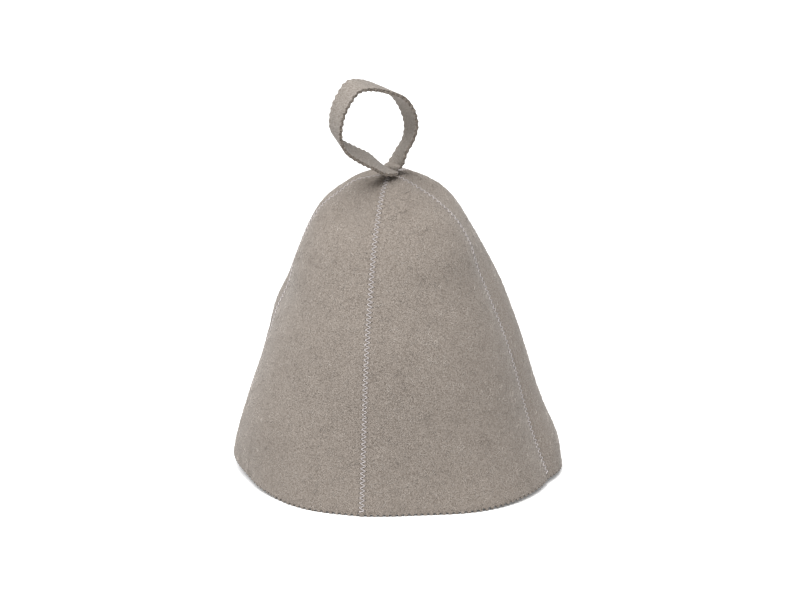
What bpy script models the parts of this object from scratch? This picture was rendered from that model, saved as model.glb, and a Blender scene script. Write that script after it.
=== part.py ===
"""Felt sauna hat: four gores sewn edge to edge into a bell, with a felt hanging loop at the crown.

World units are metres, +Z up, and the hat stands on its rim on z = 0. The seams run up the front (-Y),
the right (+X), the left (-X) and the back, which is turned a little to the right.
Tables are in millimetres, because a hat maker measures in them.
"""

import math

import bpy
import numpy as np
from mathutils import Vector

# Driving dimensions

MM = 0.001
FELT = 2.8 * MM
SEAM_GAP = 0.3 * MM
BACK_SEAM_TURN = math.radians(12)
COLUMNS = 16
LEVELS = 36
CENTRE_X = -2.52 * MM
CENTRE_Y = 0.67 * MM

STRAP_THICK = 2.8 * MM
PINK_PITCH = 4.6 * MM
PINK_DEPTH = 0.9 * MM
LOOP_YAW = math.radians(47.6)
LOOP_TILT = math.radians(5)
CROWN_Z = 229 * MM

# One row a level of the felt, from the rim to the crown. For each seam: its distance from the axis
# and its height above the floor. The rim is lifted at the side seams, and the front and back are
# drawn just below the floor so that the cut at z = 0 leaves them a flat edge to stand on.
SEAM_ROWS = np.array([
    # front r, front z, right r, right z, back r, back z, left r, left z
    (93.6, -1.2, 121, 4, 92.3, -1.2, 121, 9.5),
    (89.4, 23, 112.2, 26, 88.5, 24.5, 116.5, 27),
    (86.1, 46, 104.5, 49, 85.5, 49, 109, 50.5),
    (82.9, 69, 98.4, 72, 83, 74, 100.3, 73.5),
    (79.6, 92.5, 92.2, 95.5, 80.7, 99, 92.6, 96.5),
    (75.2, 115.5, 84.8, 118.5, 78, 123.7, 83.5, 120),
    (68.9, 138, 76, 141, 74.6, 148.4, 73.5, 142),
    (62.1, 158, 67.6, 161, 70.6, 170, 70.3, 162),
    (54.9, 178, 61.4, 180.5, 64.2, 191.5, 63, 183),
    (46.1, 196.5, 50.5, 199, 53.6, 211, 51.9, 202.4),
    (35.7, 211.5, 35.1, 213, 43, 220.6, 36.4, 216),
    (24, 221.8, 21.5, 221.6, 29.4, 226.6, 25.8, 224),
    (12.6, 227.6, 10.6, 227.2, 13.9, 229.3, 12.2, 228),
    (4.2, 228.8, 6.7, 228.8, 4.2, 228.8, 6.7, 228.8),
])

# How full each gore is between its seams at the same levels: 1 is an ellipse, less is flatter with
# the seams as ridges, more bulges out and leaves the seams in a valley.
FULL_ROWS = np.array([
    # front right, back right, back left, front left
    (0.95, 1.2, 1.1, 0.88),
    (0.98, 1.38, 1.25, 0.95),
    (1.0, 1.3, 1.4, 1.0),
    (1.0, 1.22, 1.5, 1.0),
    (1.0, 1.18, 1.5, 1.0),
    (0.98, 1.15, 1.5, 1.0),
    (0.95, 1.12, 1.5, 1.0),
    (0.94, 1.0, 1.4, 0.95),
    (0.93, 0.76, 1.6, 0.9),
    (0.88, 0.68, 1.8, 0.85),
    (0.8, 0.64, 2.1, 0.8),
    (0.8, 0.6, 2.0, 0.8),
    (0.9, 0.9, 1.3, 0.9),
    (2.3, 2.3, 2.3, 2.3),
])

# How fast the side seams' lift fades into each gore: a larger power keeps it closer to the seam.
SIDE_SHARE = (3, 4, 4, 3)

# Soft dents and swellings of the felt: bearing from the front seam towards the right, height,
# half widths across and up, and depth inwards (negative swells out).
DENTS = np.array([
    # bearing deg, height, across deg, up, depth
    (28, 0, 22, 90, 5.2),
    (-106, 134, 17, 30, -9.0),
    (-38, 206, 25, 13, 4.8),
    (93, 150, 9, 60, 1.5),
    (-58, 60, 16, 30, -1.5),
    (-66, 0, 10, 35, 2.0),
    (-26, 0, 16, 50, -3.6),
    (-102, 65, 9, 60, -2.5),
])

# The loop's strip, from the end sewn in at the front to the end behind it. Its near edge lies in a
# leaning plane: across and up in that plane, how far it comes forward of it, how far the strip's
# width is turned from square to it, how far the width tilts up, and the width.
LOOP_ROWS = np.array([
    # across, up, forward, turn deg, tilt deg, width
    (0.3, -9.2, 3.5, 42.4, 0.0, 8.2),
    (0.3, -4.2, 3.1, 42.4, 0.0, 8.2),
    (0.3, 0.7, 2.7, 42.4, 0.0, 8.2),
    (1.3, 4.0, 8.7, 21.8, 6.3, 10.5),
    (-4.2, 5.0, 10.9, 4.5, 15.0, 13.5),
    (-12.6, 6.8, 11.8, -8.9, 23.7, 15.5),
    (-23.2, 12.8, 11.7, -16.3, 28.8, 16.3),
    (-35.9, 20.2, 11.2, -16.4, 27.2, 16.3),
    (-46.5, 28.7, 10.8, -12.2, 22.2, 16.3),
    (-51.5, 40.3, 10.6, -6.4, 16.6, 16.3),
    (-50.0, 54.3, 10.7, -3.0, 14.2, 16.3),
    (-44.6, 64.7, 10.8, -1.0, 14.0, 16.3),
    (-36.9, 71.8, 10.8, 1.9, 15.3, 16.3),
    (-24.9, 71.6, 10.6, 3.8, 13.2, 16.3),
    (-11.2, 67.4, 10.2, 5.0, 8.9, 16.3),
    (2.6, 61.1, 9.8, 5.1, 3.7, 16.3),
    (11.9, 50.4, 9.3, 3.0, -1.1, 16.3),
    (15.6, 38.0, 8.9, -3.3, -4.6, 16.3),
    (13.4, 27.5, 8.1, -9.7, -6.8, 16.3),
    (9.0, 19.3, 7.2, -9.3, -5.8, 16.0),
    (7.5, 11.9, 6.1, 0.7, -2.0, 14.8),
    (7.0, 7.7, 5.0, 16.1, 1.4, 13.0),
    (5.5, 6.3, 3.8, 31.6, 1.8, 11.2),
    (5.0, 0.6, 2.8, 42.4, 0.0, 10.4),
    (4.9, -4.5, 2.6, 42.4, 0.0, 10.2),
    (4.9, -9.5, 2.6, 42.4, 0.0, 10.2),
])


# Helpers

def spline(table, s):
    """Smooth curve through the rows of a table, read at s, counted in rows."""
    s = np.clip(np.asarray(s, float), 0, len(table) - 1)
    i = np.minimum(s.astype(int), len(table) - 2)
    f = (s - i)[:, None]
    rows = np.vstack([2 * table[0] - table[1], table, 2 * table[-1] - table[-2]])
    a, b, c, d = rows[i], rows[i + 1], rows[i + 2], rows[i + 3]
    return 0.5 * (2 * b + (c - a) * f + (2 * a - 5 * b + 4 * c - d) * f**2 + (3 * b - a - 3 * c + d) * f**3)


def add_mesh(name, vertices, faces, collection, smooth=True):
    mesh = bpy.data.meshes.new(name)
    mesh.from_pydata([tuple(v) for v in vertices], [], faces)
    mesh.validate()
    if smooth:
        mesh.shade_smooth()
    obj = bpy.data.objects.new(name, mesh)
    collection.objects.link(obj)
    return obj


def add_material(obj, colour, roughness):
    material = bpy.data.materials.new(obj.name)
    material.use_nodes = True
    shader = material.node_tree.nodes["Principled BSDF"]
    shader.inputs["Base Color"].default_value = (*colour, 1)
    shader.inputs["Roughness"].default_value = roughness
    shader.inputs["Metallic"].default_value = 0
    obj.data.materials.append(material)


# The bell

def seam_directions():
    """Where the front, right, back and left seams lie, seen from above."""
    back = (math.sin(BACK_SEAM_TURN), math.cos(BACK_SEAM_TURN))
    return np.array([(0, -1), (1, 0), back, (-1, 0)])


def bell_ring(seams, full, t):
    """Points of one level round the hat; t runs 0 to 4 from the front seam by way of the right."""
    directions = seam_directions()
    gore = int(t) % 4
    nxt = (gore + 1) % 4
    turn = math.pi / 2 * (t - int(t))
    near, far = math.cos(turn), math.sin(turn)
    chord = near * seams[:, 2 * gore, None] * directions[gore] + far * seams[:, 2 * nxt, None] * directions[nxt]
    spread = near + far
    plan = chord * ((1 + full[:, gore] * (spread - 1)) / spread)[:, None]
    side = (far if gore in (0, 2) else near) ** SIDE_SHARE[gore]
    z_side = seams[:, 2 * nxt + 1] if gore in (0, 2) else seams[:, 2 * gore + 1]
    z_flat = seams[:, 2 * gore + 1] if gore in (0, 2) else seams[:, 2 * nxt + 1]
    return np.column_stack([plan, z_side * side + z_flat * (1 - side)])


def press_dents(points):
    """Moves the felt in or out along its distance from the axis."""
    bearing = np.degrees(np.arctan2(points[:, 0], -points[:, 1]))
    radius = np.hypot(points[:, 0], points[:, 1])
    depth = np.zeros(len(points))
    for towards, height, across, up, inward in DENTS:
        off = (bearing - towards + 180) % 360 - 180
        depth += inward * np.exp(-((off / across) ** 2) - ((points[:, 2] - height) / up) ** 2)
    near_axis = np.clip((radius - 6) / 10, 0, 1)
    points[:, :2] *= (1 - depth * near_axis / np.maximum(radius, 1))[:, None]
    return points


def level_positions():
    """Levels up the felt: even, with two close ones at the rim and finer ones near the crown."""
    top = len(SEAM_ROWS) - 1
    even = np.linspace(0, top, LEVELS - 4)
    return np.sort(np.concatenate([even, [0.12, top - 0.2, top - 0.6, top - 1.4]]))


def bell_surface(name, collection):
    """The felt's outer face as one open surface, wide at the rim and with a small mouth at the crown."""
    s = level_positions()
    seams = spline(SEAM_ROWS, s)
    full = spline(FULL_ROWS, s)
    steps = 4 * COLUMNS
    rings = np.array([press_dents(bell_ring(seams, full, 4 * c / steps)) for c in range(steps)])
    points = rings.reshape(-1, 3) * MM + (CENTRE_X, CENTRE_Y, 0)
    faces = []
    for c in range(steps):
        here = c * len(s)
        there = (c + 1) % steps * len(s)
        for k in range(len(s) - 1):
            faces.append((here + k, there + k, there + k + 1, here + k + 1))
    return add_mesh(name, points, faces, collection)


def seam_wedge(name, gore, collection):
    """The upright wedge between two seams, half a seam gap clear of both, standing on the floor."""
    first, second = seam_directions()[[gore, (gore + 1) % 4]]
    cross = first[0] * second[1] - first[1] * second[0]
    near = (first + second) * (SEAM_GAP / 2) / cross
    reach = 0.4
    plan = [near, near + first * reach, near + (first + second) * reach, near + second * reach]
    bpy.ops.mesh.primitive_cube_add(size=2)
    cutter = bpy.context.object
    cutter.name = name
    for vertex in cutter.data.vertices:
        x, y, z = vertex.co
        corner = plan[{(-1, -1): 0, (1, -1): 1, (1, 1): 2, (-1, 1): 3}[(round(x), round(y))]]
        vertex.co = Vector((corner[0] + CENTRE_X, corner[1] + CENTRE_Y, 0.3 if z > 0 else 0.0))
    for other in list(cutter.users_collection):
        other.objects.unlink(cutter)
    collection.objects.link(cutter)
    cutter.display_type = "WIRE"
    return cutter


def felt_gore(name, gore, parts, cutters, colour):
    """One gore: the bell in felt of full thickness, cut along its two seams and level with the floor."""
    panel = bell_surface(name, parts)
    wall = panel.modifiers.new("felt", "SOLIDIFY")
    wall.thickness = FELT
    wall.offset = -1
    wall.use_even_offset = True
    cut = panel.modifiers.new("seams", "BOOLEAN")
    cut.operation = "INTERSECT"
    cut.solver = "EXACT"
    cut.object = seam_wedge(name + "_wedge", gore, cutters)
    add_material(panel, colour, 0.95)
    return panel


# The hanging loop

def loop_stations():
    """The strip's rows read every quarter of a tooth along its near edge."""
    fine = np.linspace(0, len(LOOP_ROWS) - 1, 1200)
    rows = spline(LOOP_ROWS, fine)
    run = np.concatenate([[0], np.cumsum(np.hypot(np.diff(rows[:, 0]), np.diff(rows[:, 1])))])
    count = 2 * round(run[-1] * MM / PINK_PITCH)
    at = np.linspace(0, run[-1], count + 1)
    return spline(LOOP_ROWS, np.interp(at, run, fine))


def loop_frame():
    """Across, forward and up directions of the loop's leaning plane."""
    across = np.array([math.cos(LOOP_YAW), math.sin(LOOP_YAW), 0])
    level = np.array([-math.sin(LOOP_YAW), math.cos(LOOP_YAW), 0])
    axis = level * math.cos(LOOP_TILT) + np.array([0, 0, math.sin(LOOP_TILT)])
    return across, -axis, np.cross(across, axis)


def hanging_loop(name, parts, colour):
    """One felt strip, bent to a drop-shaped loop, with pinked edges and both ends down in the crown."""
    across, forward, up = loop_frame()
    rows = loop_stations()
    points = []
    for number, (u, v, ahead, turn, tilt, width) in enumerate(rows):
        edge = np.array([0, 0, CROWN_Z / MM]) + u * across + v * up + ahead * forward
        angle = LOOP_YAW + math.radians(turn)
        level = math.cos(math.radians(tilt))
        side = np.array([-math.sin(angle) * level, math.cos(angle) * level, math.sin(math.radians(tilt))])
        tooth = (PINK_DEPTH / MM) * (number % 2 - 0.5)
        for part in (0, 0.5, 1):
            reach = width * part + tooth * (2 * part - 1)
            points.append(edge + side * reach)
    points = np.array(points) * MM + (CENTRE_X, CENTRE_Y, 0)
    faces = [
        (3 * n + k, 3 * n + k + 1, 3 * n + k + 4, 3 * n + k + 3)
        for n in range(len(rows) - 1)
        for k in (0, 1)
    ]
    loop = add_mesh(name, points, faces, parts)
    wall = loop.modifiers.new("felt", "SOLIDIFY")
    wall.thickness = STRAP_THICK
    wall.offset = 0
    wall.use_even_offset = True
    add_material(loop, colour, 0.95)
    return loop


# Assembly

def main():
    for obj in list(bpy.data.objects):
        bpy.data.objects.remove(obj, do_unlink=True)
    parts = bpy.data.collections.new("felt_sauna_hat")
    cutters = bpy.data.collections.new("seam_cutters")
    cutters.hide_render = True
    for collection in (parts, cutters):
        bpy.context.scene.collection.children.link(collection)
    root = bpy.data.objects.new("felt_sauna_hat_root", None)
    parts.objects.link(root)
    pieces = [
        felt_gore("panel_front_right", 0, parts, cutters, (0.31, 0.27, 0.24)),
        felt_gore("panel_back_right", 1, parts, cutters, (0.30, 0.26, 0.23)),
        felt_gore("panel_back_left", 2, parts, cutters, (0.30, 0.26, 0.23)),
        felt_gore("panel_front_left", 3, parts, cutters, (0.32, 0.28, 0.25)),
        hanging_loop("hanging_loop", parts, (0.33, 0.29, 0.26)),
    ]
    for piece in pieces:
        piece.parent = root


main()
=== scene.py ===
# %% [markdown]
# # A felt sauna hat, dressed
#
# The real hat is four gores of thick grey-beige felt, butted edge to edge and joined by a light
# zigzag stitch, with one pinked strip of the same felt as a hanging loop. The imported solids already
# have its size and form, so this lesson only dresses them: finer gores with rounded, pinked edges,
# the stitching, the wool's loose fibres, and the materials, light and camera.

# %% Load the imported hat
import math

import bpy
import numpy as np
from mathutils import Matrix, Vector, noise


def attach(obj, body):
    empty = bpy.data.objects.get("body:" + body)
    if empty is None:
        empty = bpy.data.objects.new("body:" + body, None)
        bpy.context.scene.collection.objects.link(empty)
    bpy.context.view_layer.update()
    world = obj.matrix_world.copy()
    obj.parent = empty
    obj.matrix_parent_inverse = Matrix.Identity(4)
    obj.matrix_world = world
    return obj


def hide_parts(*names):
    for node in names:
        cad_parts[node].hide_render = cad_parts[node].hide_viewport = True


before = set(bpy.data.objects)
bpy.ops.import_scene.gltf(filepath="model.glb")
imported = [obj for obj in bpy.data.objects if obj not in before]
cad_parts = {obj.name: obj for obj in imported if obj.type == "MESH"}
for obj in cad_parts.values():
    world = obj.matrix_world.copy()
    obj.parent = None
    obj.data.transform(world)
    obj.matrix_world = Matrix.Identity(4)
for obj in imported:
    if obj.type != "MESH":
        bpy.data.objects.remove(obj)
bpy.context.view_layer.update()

print("nodes", sorted(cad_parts))

# %% [markdown]
# ## The hat's measurements
#
# A hat maker keeps a table of how far each seam stands from the hat's axis, level by level. The same
# table made the solids, so the fine felt follows them exactly. It could be read back from the solids'
# meshes, but the rows give a smooth surface at any fineness, which faces don't. Only the last row
# differs: here the felt closes in to the loop's strip, as it does where the crown is sewn shut.
# Everything is in millimetres here, and MM turns it into Blender's metres at the end.

# %% The felt and its cut
MM = 0.001
FELT = 2.8
CENTRE = np.array([-2.52, 0.67, 0.0])
CROWN_Z = 229
BACK_SEAM_TURN = math.radians(12)
PINK_PITCH = 4.6
RIM_DEPTH = 1.7
PINK_DEPTH = 1.3
LOOP_YAW = math.radians(47.6)
LOOP_TILT = math.radians(5)
GORES = ["front_right", "back_right", "back_left", "front_left"]
SEAMS = ["front", "right", "back", "left"]
print("felt", FELT, "mm thick, pinked every", PINK_PITCH, "mm")

# %% How far each seam stands from the axis
SEAM_ROWS = np.array([
    # front r, front z, right r, right z, back r, back z, left r, left z
    (93.6, -1.2, 121, 4, 92.3, -1.2, 121, 9.5),
    (89.4, 23, 112.2, 26, 88.5, 24.5, 116.5, 27),
    (86.1, 46, 104.5, 49, 85.5, 49, 109, 50.5),
    (82.9, 69, 98.4, 72, 83, 74, 100.3, 73.5),
    (79.6, 92.5, 92.2, 95.5, 80.7, 99, 92.6, 96.5),
    (75.2, 115.5, 84.8, 118.5, 78, 123.7, 83.5, 120),
    (68.9, 138, 76, 141, 74.6, 148.4, 73.5, 142),
    (62.1, 158, 67.6, 161, 70.6, 170, 70.3, 162),
    (54.9, 178, 61.4, 180.5, 64.2, 191.5, 63, 183),
    (46.1, 196.5, 50.5, 199, 53.6, 211, 51.9, 202.4),
    (35.7, 211.5, 35.1, 213, 43, 220.6, 36.4, 216),
    (24, 221.8, 21.5, 221.6, 29.4, 226.6, 25.8, 224),
    (12.6, 227.6, 10.6, 227.2, 13.9, 229.3, 12.2, 228),
    (1.6, 229.3, 3.8, 229.3, 1.6, 229.3, 3.8, 229.3),
])
TOP_ROW = len(SEAM_ROWS) - 1
print("rows up the felt", len(SEAM_ROWS))

# %% How full each gore is between its seams
# 0 would be a straight line from seam to seam, and 1 is a quarter of an ellipse.
FULL_ROWS = np.array([
    # front right, back right, back left, front left
    (0.95, 1.2, 1.1, 0.88),
    (0.98, 1.38, 1.25, 0.95),
    (1.0, 1.3, 1.4, 1.0),
    (1.0, 1.22, 1.5, 1.0),
    (1.0, 1.18, 1.5, 1.0),
    (0.98, 1.15, 1.5, 1.0),
    (0.95, 1.12, 1.5, 1.0),
    (0.94, 1.0, 1.4, 0.95),
    (0.93, 0.76, 1.6, 0.9),
    (0.88, 0.68, 1.8, 0.85),
    (0.8, 0.64, 2.1, 0.8),
    (0.8, 0.6, 2.0, 0.8),
    (0.9, 0.9, 1.3, 0.9),
    (2.3, 2.3, 2.3, 2.3),
])

# The rim is lifted at the side seams. A higher power keeps the lift closer to the seam.
SIDE_SHARE = (3, 4, 4, 3)
print("fullest", FULL_ROWS.max(), "flattest", FULL_ROWS.min())

# %% Soft dents and swellings
DENTS = np.array([
    # bearing deg, height, across deg, up, depth inwards
    (28, 0, 22, 90, 5.2),
    (-106, 134, 17, 30, -9.0),
    (-38, 206, 25, 13, 4.8),
    (93, 150, 9, 60, 1.5),
    (-58, 60, 16, 30, -1.5),
    (-66, 0, 10, 35, 2.0),
    (-26, 0, 16, 50, -3.6),
    (-102, 65, 9, 60, -2.5),
])
print("dents", int((DENTS[:, 4] > 0).sum()), "swellings", int((DENTS[:, 4] < 0).sum()))

# %% The way of the loop's strip
LOOP_ROWS = np.array([
    # across, up, forward, turn deg, tilt deg, width
    (0.3, -9.2, 3.5, 42.4, 0.0, 8.2),
    (0.3, -4.2, 3.1, 42.4, 0.0, 8.2),
    (0.3, 0.7, 2.7, 42.4, 0.0, 8.2),
    (1.3, 4.0, 8.7, 21.8, 6.3, 10.5),
    (-4.2, 5.0, 10.9, 4.5, 15.0, 13.5),
    (-12.6, 6.8, 11.8, -8.9, 23.7, 15.5),
    (-23.2, 12.8, 11.7, -16.3, 28.8, 16.3),
    (-35.9, 20.2, 11.2, -16.4, 27.2, 16.3),
    (-46.5, 28.7, 10.8, -12.2, 22.2, 16.3),
    (-51.5, 40.3, 10.6, -6.4, 16.6, 16.3),
    (-50.0, 54.3, 10.7, -3.0, 14.2, 16.3),
    (-44.6, 64.7, 10.8, -1.0, 14.0, 16.3),
    (-36.9, 71.8, 10.8, 1.9, 15.3, 16.3),
    (-24.9, 71.6, 10.6, 3.8, 13.2, 16.3),
    (-11.2, 67.4, 10.2, 5.0, 8.9, 16.3),
    (2.6, 61.1, 9.8, 5.1, 3.7, 16.3),
    (11.9, 50.4, 9.3, 3.0, -1.1, 16.3),
    (15.6, 38.0, 8.9, -3.3, -4.6, 16.3),
    (13.4, 27.5, 8.1, -9.7, -6.8, 16.3),
    (9.0, 19.3, 7.2, -9.3, -5.8, 16.0),
    (7.5, 11.9, 6.1, 0.7, -2.0, 14.8),
    (7.0, 7.7, 5.0, 16.1, 1.4, 13.0),
    (5.5, 6.3, 3.8, 31.6, 1.8, 11.2),
    (5.0, 0.6, 2.8, 42.4, 0.0, 10.4),
    (4.9, -4.5, 2.6, 42.4, 0.0, 10.2),
    (4.9, -9.5, 2.6, 42.4, 0.0, 10.2),
])
print("rows along the loop", len(LOOP_ROWS))

# %% [markdown]
# ## One smooth surface for the felt
#
# A gore is a flat cut of felt that only bends, so between two seams it is a full, even curve. Each
# level could be drawn as a separate spline, but a blend of the two seams' distances gives the same
# curve from two numbers and one fullness, and it is easy to read at any point.

# %% Smooth curves through the rows
def spline(table, s):
    """Smooth curve through the rows of a table, read at s, counted in rows."""
    s = np.clip(np.asarray(s, float), 0, len(table) - 1)
    i = np.minimum(s.astype(int), len(table) - 2)
    f = (s - i)[:, None]
    rows = np.vstack([2 * table[0] - table[1], table, 2 * table[-1] - table[-2]])
    a, b, c, d = rows[i], rows[i + 1], rows[i + 2], rows[i + 3]
    square = (2 * a - 5 * b + 4 * c - d) * f**2
    cube = (3 * b - a - 3 * c + d) * f**3
    return 0.5 * (2 * b + (c - a) * f + square + cube)


print("front seam half a row up", spline(SEAM_ROWS, [0.5])[0, :2].round(1), "mm out and up")

# %% The bell's outer face
BACK_WAY = (math.sin(BACK_SEAM_TURN), math.cos(BACK_SEAM_TURN))
SEAM_WAYS = np.array([(0, -1), (1, 0), BACK_WAY, (-1, 0)])
STILL_RADIUS = 6
STILL_FADE = 10


def press_dents(points):
    """Moves the felt in or out along its distance from the axis, but not beside the axis."""
    bearing = np.degrees(np.arctan2(points[:, 0], -points[:, 1]))
    radius = np.hypot(points[:, 0], points[:, 1])
    depth = np.zeros(len(points))
    for towards, height, across, up, inward in DENTS:
        off = (bearing - towards + 180) % 360 - 180
        depth += inward * np.exp(-((off / across) ** 2) - ((points[:, 2] - height) / up) ** 2)
    free = np.clip((radius - STILL_RADIUS) / STILL_FADE, 0, 1)
    points[:, :2] *= (1 - depth * free / np.maximum(radius, 1))[:, None]
    return points


def bell(gore, s, turn):
    """Points on a gore's outer face: s rows up from the rim, turn 0 to 1 from its first seam."""
    nxt = (gore + 1) % 4
    seams = spline(SEAM_ROWS, s)
    full = spline(FULL_ROWS, s)[:, gore]
    near = np.cos(math.pi / 2 * turn)
    far = np.sin(math.pi / 2 * turn)
    chord = (near * seams[:, 2 * gore])[:, None] * SEAM_WAYS[gore]
    chord = chord + (far * seams[:, 2 * nxt])[:, None] * SEAM_WAYS[nxt]
    plan = chord * ((1 + full * (near + far - 1)) / (near + far))[:, None]
    side, flat = (nxt, gore) if gore in (0, 2) else (gore, nxt)
    share = (far if gore in (0, 2) else near) ** SIDE_SHARE[gore]
    z = seams[:, 2 * side + 1] * share + seams[:, 2 * flat + 1] * (1 - share)
    return press_dents(np.column_stack([plan, z]))


middle = bell(0, np.zeros(1), np.full(1, 0.5))[0]
print("middle of the front right gore, at the rim", middle.round(1))

# %% Directions and widths on the face
def unit(vectors):
    """The same directions, each one long. Vectors lie along the last axis."""
    return vectors / np.maximum(np.linalg.norm(vectors, axis=-1), 1e-9)[..., None]


def run_along(points):
    """Length run along a line of points, from its first point."""
    return np.concatenate([[0], np.cumsum(np.linalg.norm(np.diff(points, axis=0), axis=1))])


def bell_axes(gore, s, turn):
    """The face's directions across and up, in millimetres a unit of turn and of s, and outwards."""
    step = 0.01
    a0, a1 = np.clip(turn - step, 0, 1), np.clip(turn + step, 0, 1)
    s0, s1 = np.clip(s - step, 0, TOP_ROW), np.clip(s + step, 0, TOP_ROW)
    across = (bell(gore, s, a1) - bell(gore, s, a0)) / (a1 - a0)[:, None]
    up = (bell(gore, s1, turn) - bell(gore, s0, turn)) / (s1 - s0)[:, None]
    return across, up, unit(np.cross(across, up))


def gore_spread(gore, s):
    """How the distance across a gore grows with the turn, at one level."""
    turns = np.linspace(0, 1, 97)
    return turns, run_along(bell(gore, np.full(len(turns), s), turns))


def gore_width(gore, s):
    return gore_spread(gore, s)[1][-1]


for gore, name in enumerate(GORES):
    print(name, "is", round(gore_width(gore, 0.0), 1), "mm wide at the rim")

# %% [markdown]
# ## The four gores
#
# Pinking shears cut the rim into small scallops, and the cut edges of thick felt are soft. A bevel
# modifier could round them, but it makes poor corners on a fine grid, so the edge is rounded where
# the points are placed: the face sinks by a quarter circle over its last half millimetre. At a seam
# both gores are cut on the seam's own plane, and far less rounded, so that they butt like the real
# ones. The cut faces take a second, darker material, whose darkness is painted shade standing in
# for the shadows in the pinked notches.

# %% Edge rounding and pinking
EDGE_ROUND = 0.5
EDGE_STEPS = np.array([0.0, 0.08, 0.24, 0.5])
LOOP_ROUND = 0.3
SEAM_ROUND = 0.22
SEAM_STEPS = np.array([0.0, 0.04, 0.11, 0.22])
SEAM_CLEAR = 0.03
ARCH_HALF = 0.31


def edge_sink(e, radius=EDGE_ROUND):
    """How far the face sinks at distance e from its cut edge."""
    inside = np.clip(radius - e, 0, radius)
    return radius - np.sqrt(radius**2 - inside**2)


def tooth(phase):
    """A pinked tooth: straight flanks, with its tip at 1 and its notch at 0 a little worn."""
    ramp = 1 - np.abs(2 * (phase % 1) - 1)
    return 0.85 * ramp + 0.15 * np.sin(math.pi * phase) ** 2


def scallop(phase):
    """The rim's small arches: 1 in the middle of an arch, 0 on the foot between two."""
    off = np.abs((phase + 0.5) % 1 - 0.5)
    return np.sqrt(np.clip(1 - (off / ARCH_HALF) ** 2, 0, 1))


print("an arch is", round(2 * ARCH_HALF * PINK_PITCH, 1), "mm wide and", RIM_DEPTH, "mm high")

# %% Closed sheets of felt
def add_mesh(name, points, faces):
    """A smooth piece from points in millimetres about the hat's axis."""
    mesh = bpy.data.meshes.new(name)
    mesh.from_pydata(((np.asarray(points) + CENTRE) * MM).tolist(), [], faces)
    mesh.validate()
    mesh.shade_smooth()
    obj = bpy.data.objects.new(name, mesh)
    bpy.context.scene.collection.objects.link(obj)
    return obj


def thick_grid(face, back, columns, rows):
    """Vertices and faces of a closed sheet: its face, its back and, last, the four cut edges."""
    count = columns * rows
    faces = []
    for c in range(columns - 1):
        for r in range(rows - 1):
            a = c * rows + r
            quad = (a, a + rows, a + rows + 1, a + 1)
            faces.append(quad)
            faces.append(tuple(count + v for v in reversed(quad)))
    down = [c * rows for c in range(columns)]
    right = [(columns - 1) * rows + r for r in range(rows)]
    top = [c * rows + rows - 1 for c in reversed(range(columns))]
    left = list(reversed(range(rows)))
    border = down + right[1:] + top[1:] + left[1:]
    for a, b in zip(border, border[1:]):
        faces.append((b, a, count + a, count + b))
    return np.vstack([face, back]), faces, len(border) - 1


def mark_cut(obj, cut_faces):
    """Gives the last faces of a sheet, its cut edges, the second material."""
    index = np.zeros(len(obj.data.polygons), int)
    index[-cut_faces:] = 1
    obj.data.polygons.foreach_set("material_index", index)
    return obj


trial = thick_grid(np.zeros((9, 3)), np.zeros((9, 3)), 3, 3)
print("a trial sheet of 3 by 3 points has", len(trial[1]), "faces,", trial[2], "of them cut edges")

# %% Where a gore's points stand
TOOTH_STEPS = 6
FELT_LEVELS = 92
ROW_HEIGHT = 24.3
TOP_ROW_RUN = 8.4


def seam_positions(width, columns):
    """Distances across a gore: close steps at both cut edges and even ones between."""
    edge = SEAM_STEPS + SEAM_CLEAR
    middle = np.linspace(edge[-1], width - edge[-1], columns)
    return np.concatenate([edge[:-1], middle, width - edge[:-1][::-1]])


def gore_levels():
    """Levels up a gore, in rows: close steps at the rim and at the crown."""
    low = EDGE_STEPS / ROW_HEIGHT
    high = TOP_ROW - EDGE_STEPS[::-1] / TOP_ROW_RUN
    return np.concatenate([low[:-1], np.linspace(low[-1], high[0], FELT_LEVELS), high[1:]])


def gore_grid(gore, columns):
    """Distance across, turn and the gore's width there, for every point of a gore."""
    grid = []
    for s in gore_levels():
        turns, run = gore_spread(gore, s)
        x = seam_positions(run[-1], columns)
        grid.append((x, np.interp(x, run, turns), np.full(len(x), run[-1])))
    return (np.array([g[k] for g in grid]).T.ravel() for k in range(3))


print("levels up a gore", len(gore_levels()))

# %% Through the felt, and its unevenness
PLANE_FADE = 5
SWELLS = ((0.18, 26), (0.03, 7))


def thickness_way(gore, s, turn, x, width):
    """The direction through the felt: square to its face, and along the seam's plane at a seam."""
    way = bell_axes(gore, s, turn)[2]
    outward = way.copy()
    for seam, distance in ((gore, x), ((gore + 1) % 4, width - x)):
        across = np.array([SEAM_WAYS[seam][1], -SEAM_WAYS[seam][0], 0])
        share = np.clip(1 - distance / PLANE_FADE, 0, 1)
        way = way - (share * (way @ across))[:, None] * across
    return way / np.sum(way * outward, axis=1)[:, None]


def soft_relief(points):
    """The slight unevenness of hand-blocked felt, in millimetres, from swells of two sizes."""
    def rise(p):
        return sum(high * noise.noise(p / size) for high, size in SWELLS)

    return np.array([rise(Vector(p)) for p in points])


print("swells up to", sum(high for high, size in SWELLS), "mm")

# %% Make the gores
ARCH_FADE = 0.35
RELIEF_FADE = 6
FLOOR_CLEAR = 0.02


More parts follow.
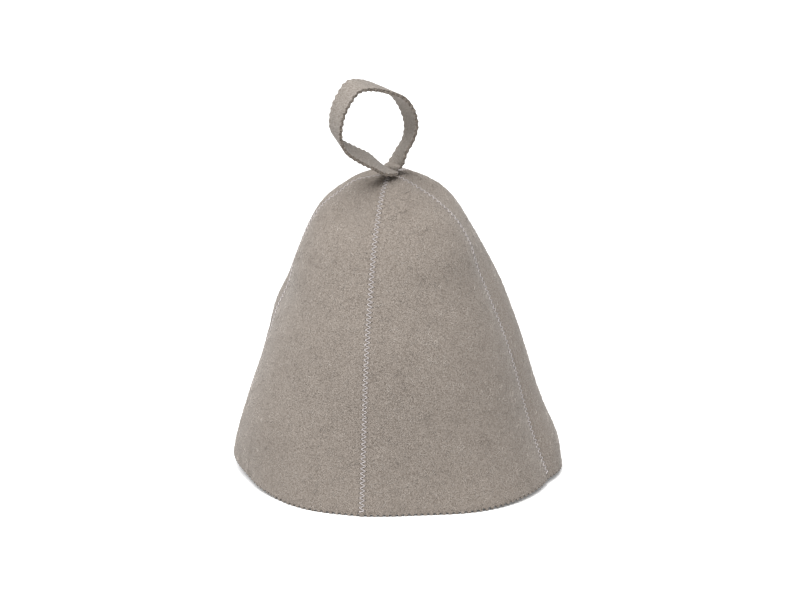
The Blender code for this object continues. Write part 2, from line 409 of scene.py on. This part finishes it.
def felt_gore(gore):
    levels = gore_levels()
    teeth = round(gore_width(gore, 0.0) / PINK_PITCH)
    columns = teeth * TOOTH_STEPS + 1
    edge = len(SEAM_STEPS) - 1
    share = np.concatenate([np.zeros(edge), np.linspace(0, 1, columns), np.ones(edge)])
    notch = RIM_DEPTH * scallop(share * teeth + 0.5)
    x, turn, width = gore_grid(gore, columns)
    across_count = len(share)
    level = np.tile(levels, across_count)

    # The arches, and the parts that would sink below the floor, lift only the lowest felt.
    rim = bell(gore, np.zeros(across_count), turn.reshape(across_count, -1)[:, 0])[:, 2]
    lift = (np.maximum(rim, 0) - rim + notch) / ROW_HEIGHT
    s = level + np.repeat(lift, len(levels)) * np.clip(1 - level / ARCH_FADE, 0, 1)

    rim_edge = level * ROW_HEIGHT
    top_edge = (TOP_ROW - level) * TOP_ROW_RUN
    seam_edge = np.minimum(x, width - x) - SEAM_CLEAR
    cut_sink = edge_sink(np.maximum(np.minimum(rim_edge, top_edge), 0))
    sink = np.maximum(cut_sink, edge_sink(np.maximum(seam_edge, 0), SEAM_ROUND))

    points = bell(gore, s, turn)
    way = thickness_way(gore, s, turn, x, width)
    relief = soft_relief(points) * np.clip(np.minimum(x, width - x) / RELIEF_FADE, 0, 1)
    face = points + way * (relief - sink)[:, None]
    back = points + way * (relief - FELT + sink)[:, None]
    for side in (face, back):
        side[:, 2] = np.maximum(side[:, 2], FLOOR_CLEAR)
    vertices, faces, cut = thick_grid(face, back, across_count, len(levels))
    return mark_cut(add_mesh("felt_" + GORES[gore], vertices, faces), cut)


gore_pieces = [felt_gore(g) for g in range(4)]
for piece, name in zip(gore_pieces, GORES):
    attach(piece, "root")
    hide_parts("panel_" + name)
    print(piece.name, len(piece.data.polygons) * 2, "triangles")

# %% [markdown]
# ## The hanging loop
#
# One strip of the same felt, cut with pinking shears along both edges, is bent into a drop and its
# two ends go down through the crown. A curve with a flat profile could draw it, but a curve can't
# turn its width as the strip does where it crosses, so its cross-sections are placed row by row.

# %% The loop's line
def loop_axes():
    """Across, forward and up for the loop, which is turned and leans with the crown."""
    across = np.array([math.cos(LOOP_YAW), math.sin(LOOP_YAW), 0])
    level = np.array([-math.sin(LOOP_YAW), math.cos(LOOP_YAW), 0])
    axis = level * math.cos(LOOP_TILT) + np.array([0, 0, math.sin(LOOP_TILT)])
    return across, -axis, np.cross(across, axis)


def loop_line(per_tooth):
    """The strip at even steps: near edge, width direction, width, teeth's phase; then its run."""
    fine = np.linspace(0, len(LOOP_ROWS) - 1, 1200)
    rows = spline(LOOP_ROWS, fine)
    run = np.concatenate([[0], np.cumsum(np.hypot(np.diff(rows[:, 0]), np.diff(rows[:, 1])))])
    teeth = round(run[-1] / PINK_PITCH)
    at = np.linspace(0, run[-1], teeth * per_tooth + 1)
    u, v, ahead, turn, tilt, width = spline(LOOP_ROWS, np.interp(at, run, fine)).T
    across, forward, up = loop_axes()
    near = np.array([0, 0, CROWN_Z]) + np.outer(u, across) + np.outer(v, up) + np.outer(ahead, forward)
    angle = LOOP_YAW + np.radians(turn)
    tilt = np.radians(tilt)
    level = np.cos(tilt)
    side = np.column_stack([-np.sin(angle) * level, np.cos(angle) * level, np.sin(tilt)])
    return near, side, width, np.arange(len(at)) / per_tooth, run[-1]


print("loop's teeth on each edge", int(loop_line(1)[3][-1]))

# %% Make the loop
LOOP_COLUMNS = 9


def felt_loop():
    near, side, width, phase, run = loop_line(8)
    along = unit(np.gradient(near + side * (width / 2)[:, None], axis=0))
    through = unit(np.cross(along, side))
    bite = PINK_DEPTH * (tooth(phase) - 0.5)
    low = EDGE_STEPS[:-1] * LOOP_ROUND / EDGE_ROUND
    face, back = [], []
    for n in range(len(near)):
        start, end = -bite[n], width[n] + bite[n]
        middle = np.linspace(start + LOOP_ROUND, end - LOOP_ROUND, LOOP_COLUMNS)
        reach = np.concatenate([start + low, middle, end - low[::-1]])
        sink = edge_sink(np.minimum(reach - start, end - reach), LOOP_ROUND)
        core = near[n] + np.outer(reach, side[n])
        half = (FELT / 2 - sink)[:, None] * through[n]
        face.append(core + half)
        back.append(core - half)
    face, back = np.concatenate(face), np.concatenate(back)
    vertices, faces, cut = thick_grid(face, back, len(near), LOOP_COLUMNS + 2 * len(low))
    return mark_cut(add_mesh("felt_loop", vertices, faces), cut), run


loop_piece, loop_run = felt_loop()
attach(loop_piece, "root")
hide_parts("hanging_loop")
print(loop_piece.name, len(loop_piece.data.polygons) * 2, "triangles,", round(loop_run, 1), "mm long")

# %% [markdown]
# ## The zigzag seam
#
# A zigzag machine stitch bridges the two butted edges: the thread dips into a needle hole on one
# gore, crosses the joint and dips into the next hole on the other. It could be a texture, but at
# this size the thread casts its own small shadows, so each leg is a bent tube, and each hole is a
# small dark pit at the stitch's point, whose darkness is painted shade for the inside of the hole.

# %% Points beside a seam
def seam_point(seam, s, offset):
    """Points at a distance offset from a seam, positive on the gore that starts there, and outwards."""
    points, ways = np.zeros((len(s), 3)), np.zeros((len(s), 3))
    for gore, first in ((seam, True), ((seam - 1) % 4, False)):
        pick = (offset >= 0) == first
        if not pick.any():
            continue
        turn = np.full(pick.sum(), 0.0 if first else 1.0)
        speed = np.linalg.norm(bell_axes(gore, s[pick], turn)[0], axis=1)
        turn = turn + offset[pick] / speed
        points[pick] = bell(gore, s[pick], turn)
        ways[pick] = bell_axes(gore, s[pick], turn)[2]
    return points, ways


def seam_run(seam):
    """Rows and the length run along a seam from the rim."""
    s = np.linspace(0, TOP_ROW, 600)
    return s, run_along(bell(seam, s, np.zeros(len(s))))


print("seams", [round(seam_run(k)[1][-1]) for k in range(4)], "mm long")

# %% The needle's points
STITCH_PITCH = 3.6
STITCH_HALF = 1.95
STITCH_WANDER = 0.07
SEAM_START = 4.6
TACK_STEPS = np.array([0, 1.0, 0.2, 1.2, 0.3])
AFTER_TACK = 1.5
BEFORE_CROWN = 1.5


def needle_points(seam):
    """Rows and offsets of the needle holes, from the rim up, with a back tack at the rim."""
    rows, run = seam_run(seam)
    tail = np.arange(SEAM_START + AFTER_TACK, run[-1] - BEFORE_CROWN, STITCH_PITCH / 2)
    at = np.concatenate([SEAM_START + TACK_STEPS, tail])
    side = np.where(np.arange(len(at)) % 2, 1.0, -1.0)
    wander = np.random.default_rng(20 + seam).normal(0, STITCH_WANDER, (2, len(at)))
    return np.interp(at + wander[0], run, rows), side * STITCH_HALF + wander[1]


print("stitches a seam", [len(needle_points(k)[0]) // 2 for k in range(4)])

# %% Sew the thread
THREAD_RADIUS = 0.28
LEG_RISE = np.array([-0.3, 0.06, 0.18, 0.22, 0.18, 0.06])
LEG_REACH = np.array([0.0, 0.07, 0.25, 0.5, 0.75, 0.93])


def tube(path, radius, sides):
    """Vertices and faces of a closed tube along a path."""
    along = unit(np.gradient(path, axis=0))
    side = unit(np.cross(along, np.array([0.3, 0.2, 1.0])))
    other = np.cross(along, side)
    angles = 2 * math.pi * np.arange(sides) / sides
    turned = np.cos(angles)[None, :, None], np.sin(angles)[None, :, None]
    ring = side[:, None] * turned[0] + other[:, None] * turned[1]
    vertices = (path[:, None] + ring * radius).reshape(-1, 3)
    faces = []
    for n in range(len(path) - 1):
        for k in range(sides):
            a, b = n * sides + k, n * sides + (k + 1) % sides
            faces.append((a, b, b + sides, a + sides))
    faces.append(tuple(reversed(range(sides))))
    faces.append(tuple(range((len(path) - 1) * sides, len(path) * sides)))
    return vertices, faces


def zigzag_thread(seam, name):
    """The thread of one seam: every leg rises out of its hole and bridges the joint."""
    rows, offsets = needle_points(seam)
    s, x = ((v[:-1, None] + np.diff(v)[:, None] * LEG_REACH).ravel() for v in (rows, offsets))
    points, ways = seam_point(seam, s, x)
    path = points + ways * np.tile(LEG_RISE, len(rows) - 1)[:, None]
    return add_mesh("seam_thread_" + name, *tube(path, THREAD_RADIUS, 6))


thread_pieces = [zigzag_thread(k, name) for k, name in enumerate(SEAMS)]
print("thread", [len(p.data.polygons) for p in thread_pieces], "faces")

# %% Prick the needle holes
PIT_SIDES = 8
PIT_OUT = 0.42
PIT_LONG = 0.42
PIT_WIDE = 0.34
PIT_RIM = 0.05
PIT_TOP = 0.12
PIT_DEEP = 0.3


def needle_holes(seam, name):
    """Small dark pits, painted shade of the holes, drawn out towards the joint by the thread's pull."""
    rows, offsets = needle_points(seam)
    centre, way = seam_point(seam, rows, offsets + np.sign(offsets) * PIT_OUT)
    inner, _ = seam_point(seam, rows, offsets * 0.6)
    pull = unit(inner - centre)
    cross = np.cross(way, pull)
    angles = 2 * math.pi * np.arange(PIT_SIDES) / PIT_SIDES
    vertices, faces = [], []
    for n in range(len(rows)):
        ring = centre[n] + way[n] * PIT_RIM
        ring = ring + np.outer(np.cos(angles) * PIT_LONG, pull[n])
        base = len(vertices)
        vertices.extend(ring + np.outer(np.sin(angles) * PIT_WIDE, cross[n]))
        vertices.append(centre[n] + way[n] * PIT_TOP)
        vertices.append(centre[n] - way[n] * PIT_DEEP)
        for k in range(PIT_SIDES):
            a, b = base + k, base + (k + 1) % PIT_SIDES
            faces.append((a, b, base + PIT_SIDES))
            faces.append((b, a, base + PIT_SIDES + 1))
    return add_mesh("needle_holes_" + name, vertices, faces)


hole_pieces = [needle_holes(k, name) for k, name in enumerate(SEAMS)]
for piece in thread_pieces + hole_pieces:
    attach(piece, "root")
print("needle holes", [len(p.data.polygons) // (2 * PIT_SIDES) for p in hole_pieces])

# %% [markdown]
# ## Loose wool fibres
#
# Felt is matted wool, and some fibres curl free of the face. A hair system could grow them, but it
# doesn't leave a mesh that others can reuse, so each fibre is a thin closed tube that wanders over
# the face and lifts off it a little.

# %% Thin closed tubes
FIBRE_SIDES = 3


def many_tubes(paths, ways, radius):
    """Vertices and faces of many tubes: paths and outward ways are fibre by point by xyz."""
    count, steps, _ = paths.shape
    along = unit(np.gradient(paths, axis=1))
    side = unit(np.cross(along, ways))
    lift = np.cross(side, along)
    thin = np.minimum(1, 0.25 + np.sin(np.linspace(0, math.pi, steps)) * 1.5)
    reach = (radius[:, None] * thin)[..., None]
    ring = []
    for k in range(FIBRE_SIDES):
        angle = 2 * math.pi * k / FIBRE_SIDES + math.pi / 2
        ring.append(paths + (side * math.cos(angle) + lift * math.sin(angle)) * reach)
    vertices = np.stack(ring, axis=2).reshape(-1, 3)
    faces = []
    for f in range(count):
        first, last = f * steps * FIBRE_SIDES, ((f + 1) * steps - 1) * FIBRE_SIDES
        for a in range(first, last, FIBRE_SIDES):
            for k in range(FIBRE_SIDES):
                b = (k + 1) % FIBRE_SIDES
                faces.append((a + k, a + b, a + b + FIBRE_SIDES, a + k + FIBRE_SIDES))
        faces.append(tuple(reversed(range(first, first + FIBRE_SIDES))))
        faces.append(tuple(range(last, last + FIBRE_SIDES)))
    return vertices, faces


print("sides of a fibre", FIBRE_SIDES)

# %% Grow the fibres
FIBRE_POINTS = 7
FIBRES_A_GORE = 3000
FIBRE_STRIDE = (0.3, 0.95)
FIBRE_BEND = 0.28
FIBRE_SHAKE = 0.15
FIBRE_LIFT = 0.06
FIBRE_RADIUS = (0.04, 0.1)
FIBRE_FLOOR = 0.5


def fibre_roots(gore, rng):
    """Rows and turns where the fibres start, fewer where the gore is narrow."""
    widths = np.array([gore_width(gore, v) for v in range(TOP_ROW + 1)])
    s, turn = [], []
    while len(s) < FIBRES_A_GORE:
        row = rng.uniform(0.05, TOP_ROW - 0.4)
        across = rng.uniform(0.01, 0.99)
        if rng.uniform() < np.interp(row, range(TOP_ROW + 1), widths) / widths.max():
            s.append(row)
            turn.append(across)
    return np.array(s), np.array(turn)


def gore_fibres(gore):
    """One gore's fibres. Each wanders over the face in steps and rises in its middle."""
    rng = np.random.default_rng(40 + gore)
    s, turn = fibre_roots(gore, rng)
    across, up, _ = bell_axes(gore, s, turn)
    stride = rng.uniform(*FIBRE_STRIDE, FIBRES_A_GORE)
    heading = rng.uniform(0, 2 * math.pi, FIBRES_A_GORE)
    bend = rng.normal(0, FIBRE_BEND, FIBRES_A_GORE)
    height = rng.gamma(2.0, FIBRE_LIFT, FIBRES_A_GORE)
    paths, ways = [], []
    for n in range(FIBRE_POINTS):
        way = bell_axes(gore, s, turn)[2]
        arc = math.sin(math.pi * (0.15 + 0.75 * n / (FIBRE_POINTS - 1)))
        lift = FIBRE_LIFT + height * arc
        paths.append(bell(gore, s, turn) + way * lift[:, None])
        ways.append(way)
        heading = heading + bend + rng.normal(0, FIBRE_SHAKE, FIBRES_A_GORE)
        turn = np.clip(turn + np.cos(heading) * stride / np.linalg.norm(across, axis=1), 0, 1)
        s = np.clip(s + np.sin(heading) * stride / np.linalg.norm(up, axis=1), 0.02, TOP_ROW)
    radius = rng.uniform(*FIBRE_RADIUS, FIBRES_A_GORE)
    paths = np.stack(paths, 1)
    paths[:, :, 2] = np.maximum(paths[:, :, 2], FIBRE_FLOOR)
    return add_mesh("wool_fibres_" + GORES[gore], *many_tubes(paths, np.stack(ways, 1), radius))


fibre_pieces = [gore_fibres(g) for g in range(4)]
for piece in fibre_pieces:
    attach(piece, "root")
print("fibres", 4 * FIBRES_A_GORE)

# %% [markdown]
# ## The flat cuts
#
# Before it is sewn, every gore lies flat on the cutting table, and so does the strip for the loop.
# Nothing stretches in the sewing, so the flat sizes can be read off the finished faces. They could
# be typed in, but measured ones stay true when a row of the table is changed.

# %% Measure the cuts
def cut_size(widths, middle):
    """Width, length and area of a cut, from its widths along the line of its middle."""
    steps = np.linalg.norm(np.diff(middle, axis=0), axis=1)
    return widths.max(), steps.sum(), np.sum((widths[1:] + widths[:-1]) / 2 * steps)


def gore_cut(gore):
    rows = np.linspace(0, TOP_ROW, 60)
    widths = np.array([gore_width(gore, s) for s in rows])
    return cut_size(widths, bell(gore, rows, np.full(len(rows), 0.5)))


def loop_cut():
    near, side, width, _, _ = loop_line(4)
    return cut_size(width, near + side * (width / 2)[:, None])


def print_cut(name, wide, long, area):
    print(name, "cut", round(wide, 1), "by", round(long, 1), "mm,", round(area / 100, 1), "cm2")


for gore, piece in enumerate(gore_pieces):
    wide, long, area = gore_cut(gore)
    print_cut(piece.name, wide, long, area)
wide, long, area = loop_cut()
print_cut(loop_piece.name, wide, long, area)

# %% [markdown]
# ## Felt
#
# Melange felt mixes undyed light and dark wool, so its colour changes over a millimetre or two and
# the fibres draw fine pale curls. Painted images could do this, but a node group of noises gives it
# at every distance, and the same group serves the gores and the loop with their own colours. The
# loop's colours are the hat's felt made a little lighter: painted light, for the loop lit from above.

# %% Helpers for shader nodes
def srgb(r, g, b):
    """Linear colour from the values that a picture shows, 0 to 255."""
    return tuple(((c / 255 + 0.055) / 1.055) ** 2.4 for c in (r, g, b)) + (1.0,)


def link(tree, a, out, b, into):
    tree.links.new(a.outputs[out], b.inputs[into])


def add_node(tree, kind, values=None, **settings):
    """A node with its settings, and the values of its sockets by name."""
    node = tree.nodes.new("ShaderNode" + kind)
    for name, value in settings.items():
        setattr(node, name, value)
    for name, value in (values or {}).items():
        node.inputs[name].default_value = value
    return node


def remap(tree, source, low, high, to_low, to_high):
    """The output of a source, moved from one range to another and kept inside it."""
    values = {"From Min": low, "From Max": high, "To Min": to_low, "To Max": to_high}
    node = add_node(tree, "MapRange", values)
    tree.links.new(source, node.inputs["Value"])
    return node.outputs["Result"]


print("mid grey is", round(srgb(128, 128, 128)[0], 3), "in linear light")

# %% Wool melange group
def cloud(tree, where, scale, detail, rough, kind="FBM", distortion=0.0):
    """A noise over the object, as the wool of one shade lies."""
    values = {"Scale": scale, "Detail": detail, "Roughness": rough, "Distortion": distortion}
    node = add_node(tree, "TexNoise", values, noise_type=kind)
    link(tree, where, "Object", node, "Vector")
    return node.outputs["Fac"]


def mix(tree, factor, a, b):
    node = add_node(tree, "Mix", data_type="RGBA")
    for source, socket in ((factor, "Factor"), (a, "A"), (b, "B")):
        tree.links.new(source, node.inputs[socket])
    return node.outputs["Result"]


def wool_melange():
    """Specks of both shades, pale curls, dark curls, and the ground colour over them in part."""
    tree = bpy.data.node_groups.new("Wool Melange", "ShaderNodeTree")
    for name in ("Ground", "Pale Fibre", "Dark Fibre"):
        tree.interface.new_socket(name, in_out="INPUT", socket_type="NodeSocketColor")
    tree.interface.new_socket("Colour", in_out="OUTPUT", socket_type="NodeSocketColor")
    for name in ("Roughness", "Height"):
        tree.interface.new_socket(name, in_out="OUTPUT", socket_type="NodeSocketFloat")
    given = tree.nodes.new("NodeGroupInput")
    made = tree.nodes.new("NodeGroupOutput")
    where = add_node(tree, "TexCoord")
    ground, pale, dark = (given.outputs[k] for k in ("Ground", "Pale Fibre", "Dark Fibre"))

    specks = cloud(tree, where, 1200, 1.5, 0.6)
    pale_curls = cloud(tree, where, 600, 1.5, 0.6, "RIDGED_MULTIFRACTAL", 0.9)
    dark_curls = cloud(tree, where, 900, 2, 0.6, "FBM", 1.2)
    patches = cloud(tree, where, 75, 2, 0.5)
    colour = mix(tree, remap(tree, specks, 0.33, 0.67, 0.0, 1.0), dark, pale)
    colour = mix(tree, remap(tree, pale_curls, 1.1, 1.9, 0.0, 0.5), colour, pale)
    colour = mix(tree, remap(tree, dark_curls, 0.52, 0.7, 0.0, 0.45), colour, dark)
    colour = mix(tree, remap(tree, patches, 0.35, 0.65, 0.22, 0.26), colour, ground)
    tree.links.new(colour, made.inputs["Colour"])

    height = add_node(tree, "Math", {1: 0.35}, operation="MULTIPLY_ADD")
    tree.links.new(pale_curls, height.inputs[0])
    tree.links.new(remap(tree, specks, 0.2, 0.8, 0, 1), height.inputs[2])
    link(tree, height, "Value", made, "Height")
    tree.links.new(remap(tree, specks, 0.3, 0.7, 0.98, 0.86), made.inputs["Roughness"])
    return tree


melange = wool_melange()
print(melange.name, "has", len(melange.nodes), "nodes")

# %% Felt materials
def material(name, roughness=0.95, sheen=0.0):
    """A new material with its Principled shader, whose even values are set on the shader itself."""
    made = bpy.data.materials.new(name)
    made.use_nodes = True
    shader = made.node_tree.nodes["Principled BSDF"]
    shader.inputs["Roughness"].default_value = roughness
    shader.inputs["Specular IOR Level"].default_value = 0.2
    shader.inputs["Sheen Weight"].default_value = sheen
    shader.inputs["Sheen Roughness"].default_value = 0.45
    return made, shader


def felt_material(name, ground, pale, dark, bump):
    made, shader = material(name, sheen=0.22)
    tree = made.node_tree
    colours = {"Ground": srgb(*ground), "Pale Fibre": srgb(*pale), "Dark Fibre": srgb(*dark)}
    wool = tree.nodes.new("ShaderNodeGroup")
    wool.node_tree = melange
    for socket, colour in colours.items():
        wool.inputs[socket].default_value = colour
    relief = add_node(tree, "Bump", {"Strength": bump, "Distance": 0.0005})
    link(tree, wool, "Colour", shader, "Base Color")
    link(tree, wool, "Roughness", shader, "Roughness")
    link(tree, wool, "Height", relief, "Height")
    link(tree, relief, "Normal", shader, "Normal")
    return made


hat_felt = felt_material("Grey beige felt", (147, 137, 128), (179, 169, 160), (114, 104, 95), 0.5)
# The loop is the same felt, painted a little lighter: painted light for the loop lit from above.
loop_felt_painted_lighter = felt_material("Loop felt, painted lighter", (152, 144, 136), (184, 176, 168), (117, 108, 100), 0.5)
# The cut edges' felt is darker: painted shade for the shadows in the pinked notches.
cut_felt_painted_shade = felt_material("Cut felt edge, painted shade", (128, 117, 107), (176, 166, 156), (70, 61, 53), 0.8)
for piece in gore_pieces:
    piece.data.materials.append(hat_felt)
    piece.data.materials.append(cut_felt_painted_shade)
loop_piece.data.materials.append(loop_felt_painted_lighter)
loop_piece.data.materials.append(cut_felt_painted_shade)
print("felts", [m.name for m in (hat_felt, loop_felt_painted_lighter, cut_felt_painted_shade)])

# %% [markdown]
# ## Thread, needle holes and loose wool
#
# The thread is smooth polyester with a fine twist, the holes are dark with painted shade, and loose
# wool is undyed in some fibres and dark in others. One flat colour each would do from afar. Here a
# wave draws the twist, and a noise changes the wool's tone from fibre to fibre and the tone of the
# holes' painted shade.

# %% Finishes of the thread, the holes and the loose wool
def tone_ramp(tree, source, low, high, start=0.0, end=1.0):
    """A colour between two tones, steered by a source's Fac output."""
    ramp = add_node(tree, "ValToRGB")
    for element, position, tone in zip(ramp.color_ramp.elements, (start, end), (low, high)):
        element.position = position
        element.color = srgb(*tone)
    link(tree, source, "Fac", ramp, "Fac")
    return ramp


def thread_material():
    """A light polyester thread with its twist."""
    made, shader = material("Pale thread", 0.55, 0.1)
    tree = made.node_tree
    where = add_node(tree, "TexCoord")
    twist = add_node(tree, "TexWave", {"Scale": 900, "Distortion": 2})
    link(tree, where, "Object", twist, "Vector")
    ramp = tone_ramp(tree, twist, (184, 177, 177), (228, 222, 221))
    link(tree, ramp, "Color", shader, "Base Color")
    relief = add_node(tree, "Bump", {"Strength": 0.4, "Distance": 0.0001})
    link(tree, twist, "Fac", relief, "Height")
    link(tree, relief, "Normal", shader, "Normal")
    return made


def noise_toned_finish(name, low, high, scale):
    """A finish whose tone changes with a noise: for loose wool from fibre to fibre, and for the needle
    holes' painted shade.
    """
    made, shader = material(name, 0.8, 0.2)
    tree = made.node_tree
    where = add_node(tree, "TexCoord")
    change = add_node(tree, "TexNoise", {"Scale": scale})
    link(tree, where, "Object", change, "Vector")
    ramp = tone_ramp(tree, change, low, high, 0.35, 0.65)
    link(tree, ramp, "Color", shader, "Base Color")
    return made


thread = thread_material()
# The needle holes' dark tones are painted shade for the inside of the holes.
pit = noise_toned_finish("Needle hole painted shade", (52, 46, 42), (84, 76, 70), 400)
fibre = noise_toned_finish("Loose wool", (154, 145, 136), (228, 220, 212), 90)
for pieces, finish in ((thread_pieces, thread), (hole_pieces, pit), (fibre_pieces, fibre)):
    for piece in pieces:
        piece.data.materials.append(finish)
print("small finishes", [m.name for m in (thread, pit, fibre)])

# %% [markdown]
# ## Floor and light
#
# The hat stands on a white sweep under one far, wide lamp that is nearly overhead and a little to
# the front, so the form changes tone slowly. A box of area lamps could do this, but they fall off
# towards the floor. The sweep is pure white for the camera, where it also glows with painted
# light that keeps its shadows pale. The painted glow fades where the rim closes over the sweep, so
# the small arches stay dark. It sends back less light than it shows, or the rim would be too bright.

# %% White sweep
SWEEP_HALF = 6.0
WHITE = (1, 1, 1, 1)
SENT_BACK = (0.75, 0.75, 0.75, 1)


def sweep_material():
    made, shader = material("White sweep", 0.9)
    tree = made.node_tree
    path = add_node(tree, "LightPath")
    tone = add_node(tree, "Mix", {"A": SENT_BACK, "B": WHITE}, data_type="RGBA")
    # Painted light: the sweep glows for the camera, less where the hat closes over it, so its shadows
    # stay pale.
    free = add_node(tree, "AmbientOcclusion", {"Distance": 0.012}, samples=8)
    painted_glow = add_node(tree, "Math", operation="MULTIPLY")
    link(tree, path, "Is Camera Ray", tone, "Factor")
    link(tree, tone, "Result", shader, "Base Color")
    link(tree, path, "Is Camera Ray", painted_glow, 0)
    tree.links.new(remap(tree, free.outputs["AO"], 0.3, 0.8, 0.0, 0.3), painted_glow.inputs[1])
    link(tree, painted_glow, "Value", shader, "Emission Strength")
    shader.inputs["Emission Color"].default_value = WHITE
    return made


def floor_plane():
    corners = [(x * SWEEP_HALF, y * SWEEP_HALF, 0) for x, y in ((-1, -1), (1, -1), (1, 1), (-1, 1))]
    mesh = bpy.data.meshes.new("floor")
    mesh.from_pydata(corners, [], [(0, 1, 2, 3)])
    mesh.materials.append(sweep_material())
    obj = bpy.data.objects.new("floor", mesh)
    bpy.context.scene.collection.objects.link(obj)
    return obj


floor = floor_plane()
print("sweep", [round(v, 1) for v in floor.dimensions[:2]], "m")

# %% Lamp and surrounding light
def soft_sky_lamp(name, towards, spread, power):
    """A lamp far off in one direction, as wide in the sky as spread, so that its shadows are soft."""
    lamp = bpy.data.lights.new(name, "SUN")
    lamp.angle = math.radians(spread)
    lamp.energy = power
    obj = bpy.data.objects.new(name, lamp)
    obj.location = Vector(towards)
    obj.rotation_euler = (-Vector(towards)).to_track_quat("-Z", "Y").to_euler()
    bpy.context.scene.collection.objects.link(obj)
    return obj


key = soft_sky_lamp("key", (-0.08, -0.31, 1.0), 60, 4.25)
world = bpy.data.worlds.new("studio")
world.use_nodes = True
world.node_tree.nodes["Background"].inputs["Color"].default_value = WHITE
world.node_tree.nodes["Background"].inputs["Strength"].default_value = 0.16
bpy.context.scene.world = world
bpy.context.scene.view_settings.view_transform = "Standard"
print("lamp", round(key.data.energy, 2), "as wide as", round(math.degrees(key.data.angle)), "degrees")

# %% [markdown]
# ## Camera
#
# The photograph was taken from a little above and from the front, turned towards the hat's +X side.
# A camera could be aimed with a constraint. Here it is placed from its two angles and its distance
# to one target, because these few numbers are easy to compare with the photograph.

# %% Place the camera
AZIMUTH = math.radians(12.6)
ELEVATION = math.radians(18)
DISTANCE = 1.9
TARGET = Vector((0.00480, 0.00231, 0.1345))
LENS = 116.3
SENSOR = 36


def add_camera():
    level = math.cos(ELEVATION)
    back = Vector((math.sin(AZIMUTH) * level, -math.cos(AZIMUTH) * level, math.sin(ELEVATION)))
    lens = bpy.data.cameras.new("camera")
    lens.sensor_width = SENSOR
    lens.lens = LENS
    obj = bpy.data.objects.new("camera", lens)
    obj.location = TARGET + back * DISTANCE
    obj.rotation_euler = (-back).to_track_quat("-Z", "Y").to_euler()
    bpy.context.scene.collection.objects.link(obj)
    bpy.context.scene.camera = obj
    return obj


camera = add_camera()
print("camera at", [round(v, 3) for v in camera.location])
